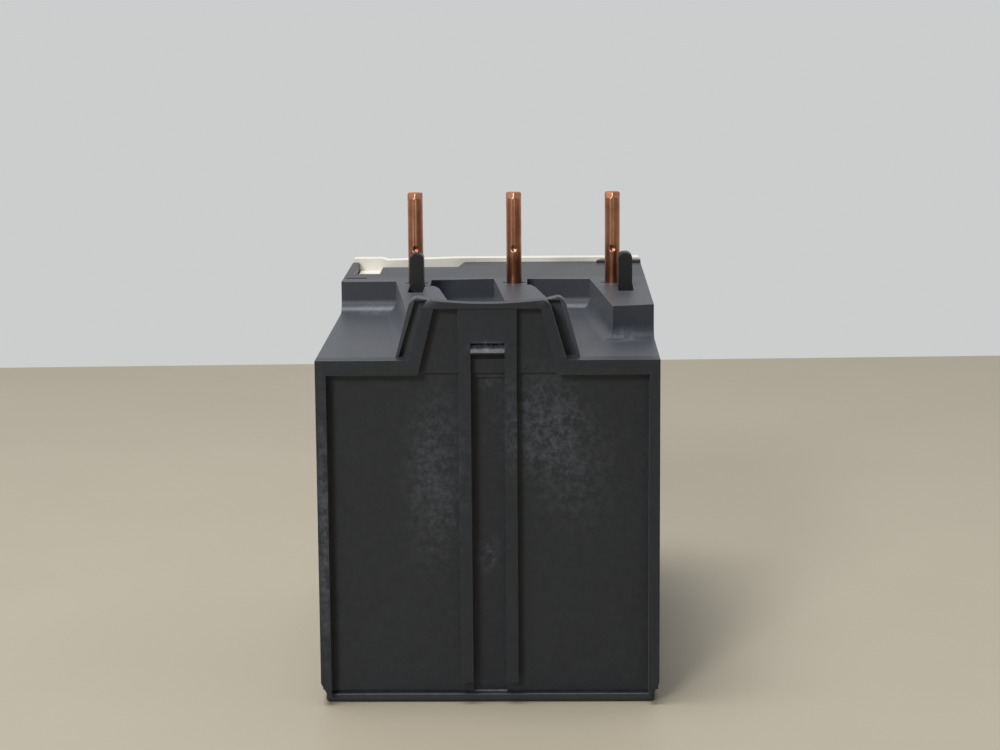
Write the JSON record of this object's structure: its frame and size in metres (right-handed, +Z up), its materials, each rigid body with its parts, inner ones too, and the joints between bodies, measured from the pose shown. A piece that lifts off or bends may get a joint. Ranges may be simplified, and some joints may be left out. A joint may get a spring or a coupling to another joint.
{
  "type": "thermal overload relay",
  "caption": "Plug-on three-pole thermal overload relay with copper line pins, a stepped dark body, an ivory front with dial and buttons, and screw terminals below.",
  "frame": {"origin": "under the middle of the body, on the plane that it stands on", "axes": "+Z up along the line pins, operator's side faces -Y, moulded back faces +Y"},
  "size_m": [0.045, 0.07, 0.0644],
  "materials": {
    "dark_moulding": "fine matt mould texture",
    "ivory_moulding": "satin moulded",
    "black_moulding": "satin moulded",
    "orange_moulding": "satin moulded",
    "blue_moulding": "satin moulded",
    "red_moulding": "satin moulded",
    "clear_pane": "clear polished",
    "copper": "bare drawn copper",
    "contact_metal": "bright tinned copper alloy",
    "bimetal": "rolled strip",
    "heater_winding": "wound resistance strip on glass sleeve",
    "steel": "bright wire",
    "zinc_steel": "zinc plated"
  },
  "bodies": {
    "housing": {"rear_cover": "dark_moulding", "case": "dark_moulding", "bottom_plate": "dark_moulding", "front_housing": "dark_moulding", "faceplate": "ivory_moulding", "pivot_pin": "steel", "hinge_pin": "steel", "reset_spring": "steel", "stop_spring": "steel", "contact_pin_1": "copper", "pole_strap_1": "copper", "bimetal_1": "bimetal", "heater_1": "heater_winding", "terminal_bar_1": "contact_metal", "contact_pin_2": "copper", "pole_strap_2": "copper", "bimetal_2": "bimetal", "heater_2": "heater_winding", "terminal_bar_2": "contact_metal", "contact_pin_3": "copper", "pole_strap_3": "copper", "bimetal_3": "bimetal", "heater_3": "heater_winding", "terminal_bar_3": "contact_metal", "control_plate_1": "contact_metal", "control_plate_2": "contact_metal", "control_plate_3": "contact_metal", "control_plate_4": "contact_metal"},
    "left_hook": {"hook_left": "black_moulding"},
    "right_hook": {"hook_right": "black_moulding"},
    "trip_slider": {"trip_slide": "black_moulding", "differential_lever": "black_moulding"},
    "differential": {"differential_slide": "ivory_moulding"},
    "tripping_lever": {"trip_lever": "black_moulding"},
    "carrier": {"contact_carrier": "black_moulding", "bridge_no": "contact_metal", "bridge_nc": "contact_metal"},
    "indicator": {"trip_flag": "orange_moulding"},
    "compensator": {"setting_lever": "bimetal"},
    "dial": {"current_dial": "ivory_moulding"},
    "reset_push": {"reset_button": "blue_moulding"},
    "stop_push": {"stop_button": "red_moulding"},
    "test_push": {"test_button": "red_moulding"},
    "selector": {"reset_selector": "ivory_moulding"},
    "cover": {"window_cover": "clear_pane"},
    "main_clamp_1_body": {"main_clamp_1": "zinc_steel"},
    "main_screw_1_body": {"main_screw_1": "zinc_steel"},
    "main_clamp_2_body": {"main_clamp_2": "zinc_steel"},
    "main_screw_2_body": {"main_screw_2": "zinc_steel"},
    "main_clamp_3_body": {"main_clamp_3": "zinc_steel"},
    "main_screw_3_body": {"main_screw_3": "zinc_steel"},
    "control_clamp_1_body": {"control_clamp_1": "zinc_steel"},
    "control_screw_1_body": {"control_screw_1": "zinc_steel"},
    "control_clamp_2_body": {"control_clamp_2": "zinc_steel"},
    "control_screw_2_body": {"control_screw_2": "zinc_steel"},
    "control_clamp_3_body": {"control_clamp_3": "zinc_steel"},
    "control_screw_3_body": {"control_screw_3": "zinc_steel"},
    "control_clamp_4_body": {"control_clamp_4": "zinc_steel"},
    "control_screw_4_body": {"control_screw_4": "zinc_steel"}
  },
  "joints": [
    {"name": "left_hook_turn", "type": "hinge", "parent": "housing", "child": "left_hook", "pos_m": [0.011, -0.0045, 0.0463], "axis": [-1, 0, 0], "range_deg": [0, 15], "stiffness_Nm_per_rad": 0.3, "springref_deg": -2.86},
    {"name": "right_hook_turn", "type": "hinge", "parent": "housing", "child": "right_hook", "pos_m": [-0.0192, -0.0045, 0.0463], "axis": [-1, 0, 0], "range_deg": [0, 15], "stiffness_Nm_per_rad": 0.3, "springref_deg": -2.86},
    {"name": "trip_slider_slide", "type": "slide", "parent": "housing", "child": "trip_slider", "axis": [1, 0, 0], "range_m": [0, 0.002], "stiffness_N_per_m": 150, "deforming": ["bimetal_1", "heater_1", "bimetal_2", "heater_2", "bimetal_3", "heater_3"]},
    {"name": "differential_slide", "type": "slide", "parent": "housing", "child": "differential", "axis": [1, 0, 0], "range_m": [0, 0.00201]},
    {"name": "tripping_lever_turn", "type": "hinge", "parent": "housing", "child": "tripping_lever", "pos_m": [0.0175, -0.0195, 0.0428], "axis": [0, 0, 1], "range_deg": [-25.4, 0]},
    {"name": "carrier_slide", "type": "slide", "parent": "housing", "child": "carrier", "axis": [0, 1, 0], "range_m": [0, 0.00191]},
    {"name": "indicator_slide", "type": "slide", "parent": "housing", "child": "indicator", "axis": [-1, 0, 0], "range_m": [0, 0.00291]},
    {"name": "compensator_slide", "type": "slide", "parent": "housing", "child": "compensator", "axis": [1, 0, 0], "range_m": [0, 0.00083]},
    {"name": "dial_turn", "type": "hinge", "parent": "housing", "child": "dial", "pos_m": [-0.012, -0.03, 0.04], "axis": [0, 1, 0], "range_deg": [0, 250]},
    {"name": "reset_push_slide", "type": "slide", "parent": "housing", "child": "reset_push", "axis": [0, 1, 0], "range_m": [0, 0.0018], "stiffness_N_per_m": 700, "springref_m": -0.002, "deforming": ["reset_spring"]},
    {"name": "stop_push_slide", "type": "slide", "parent": "housing", "child": "stop_push", "axis": [0, 1, 0], "range_m": [0, 0.0018], "stiffness_N_per_m": 700, "springref_m": -0.002, "deforming": ["stop_spring"]},
    {"name": "test_push_slide", "type": "slide", "parent": "housing", "child": "test_push", "axis": [0, 1, 0], "range_m": [0, 0.0012], "stiffness_N_per_m": 700, "springref_m": -0.002},
    {"name": "selector_turn", "type": "hinge", "parent": "housing", "child": "selector", "pos_m": [-0.002, -0.03, 0.0375], "axis": [0, 1, 0], "range_deg": [0, 90]},
    {"name": "cover_turn", "type": "hinge", "parent": "housing", "child": "cover", "pos_m": [-0.0095, -0.03435, 0.0497], "axis": [-1, 0, 0], "range_deg": [0, 110]},
    {"name": "main_clamp_1_body_slide", "type": "slide", "parent": "housing", "child": "main_clamp_1_body", "axis": [0, -1, 0], "range_m": [0, 0.0021]},
    {"name": "main_screw_1_body_turn", "type": "hinge", "parent": "main_clamp_1_body", "child": "main_screw_1_body", "pos_m": [-0.01439, -0.02, 0.0096], "axis": [0, -1, 0], "range_deg": [0, 1081]},
    {"name": "main_clamp_2_body_slide", "type": "slide", "parent": "housing", "child": "main_clamp_2_body", "axis": [0, -1, 0], "range_m": [0, 0.0021]},
    {"name": "main_screw_2_body_turn", "type": "hinge", "parent": "main_clamp_2_body", "child": "main_screw_2_body", "pos_m": [0, -0.02, 0.0096], "axis": [0, -1, 0], "range_deg": [0, 1081]},
    {"name": "main_clamp_3_body_slide", "type": "slide", "parent": "housing", "child": "main_clamp_3_body", "axis": [0, -1, 0], "range_m": [0, 0.0021]},
    {"name": "main_screw_3_body_turn", "type": "hinge", "parent": "main_clamp_3_body", "child": "main_screw_3_body", "pos_m": [0.01439, -0.02, 0.0096], "axis": [0, -1, 0], "range_deg": [0, 1081]},
    {"name": "control_clamp_1_body_slide", "type": "slide", "parent": "housing", "child": "control_clamp_1_body", "axis": [0, -1, 0], "range_m": [0, 0.0015]},
    {"name": "control_screw_1_body_turn", "type": "hinge", "parent": "control_clamp_1_body", "child": "control_screw_1_body", "pos_m": [-0.01545, -0.02, 0.0234], "axis": [0, -1, 0], "range_deg": [0, 1081]},
    {"name": "control_clamp_2_body_slide", "type": "slide", "parent": "housing", "child": "control_clamp_2_body", "axis": [0, -1, 0], "range_m": [0, 0.0015]},
    {"name": "control_screw_2_body_turn", "type": "hinge", "parent": "control_clamp_2_body", "child": "control_screw_2_body", "pos_m": [-0.00515, -0.02, 0.0234], "axis": [0, -1, 0], "range_deg": [0, 1081]},
    {"name": "control_clamp_3_body_slide", "type": "slide", "parent": "housing", "child": "control_clamp_3_body", "axis": [0, -1, 0], "range_m": [0, 0.0015]},
    {"name": "control_screw_3_body_turn", "type": "hinge", "parent": "control_clamp_3_body", "child": "control_screw_3_body", "pos_m": [0.00515, -0.02, 0.0234], "axis": [0, -1, 0], "range_deg": [0, 1081]},
    {"name": "control_clamp_4_body_slide", "type": "slide", "parent": "housing", "child": "control_clamp_4_body", "axis": [0, -1, 0], "range_m": [0, 0.0015]},
    {"name": "control_screw_4_body_turn", "type": "hinge", "parent": "control_clamp_4_body", "child": "control_screw_4_body", "pos_m": [0.01545, -0.02, 0.0234], "axis": [0, -1, 0], "range_deg": [0, 1081]}
  ],
  "couplings": [
    {"joint": "differential_slide", "follows": "trip_slider_slide", "ratio": 1},
    {"joint": "tripping_lever_turn", "follows": "trip_slider_slide", "rad_per_m": -220},
    {"joint": "carrier_slide", "follows": "trip_slider_slide", "ratio": 0.95},
    {"joint": "indicator_slide", "follows": "trip_slider_slide", "ratio": 1.45},
    {"joint": "dial_turn", "follows": "compensator_slide", "rad_per_m": 5236},
    {"joint": "main_screw_1_body_turn", "follows": "main_clamp_1_body_slide", "rad_per_m": 8976},
    {"joint": "main_screw_2_body_turn", "follows": "main_clamp_2_body_slide", "rad_per_m": 8976},
    {"joint": "main_screw_3_body_turn", "follows": "main_clamp_3_body_slide", "rad_per_m": 8976},
    {"joint": "control_screw_1_body_turn", "follows": "control_clamp_1_body_slide", "rad_per_m": 12566},
    {"joint": "control_screw_2_body_turn", "follows": "control_clamp_2_body_slide", "rad_per_m": 12566},
    {"joint": "control_screw_3_body_turn", "follows": "control_clamp_3_body_slide", "rad_per_m": 12566},
    {"joint": "control_screw_4_body_turn", "follows": "control_clamp_4_body_slide", "rad_per_m": 12566}
  ]
}
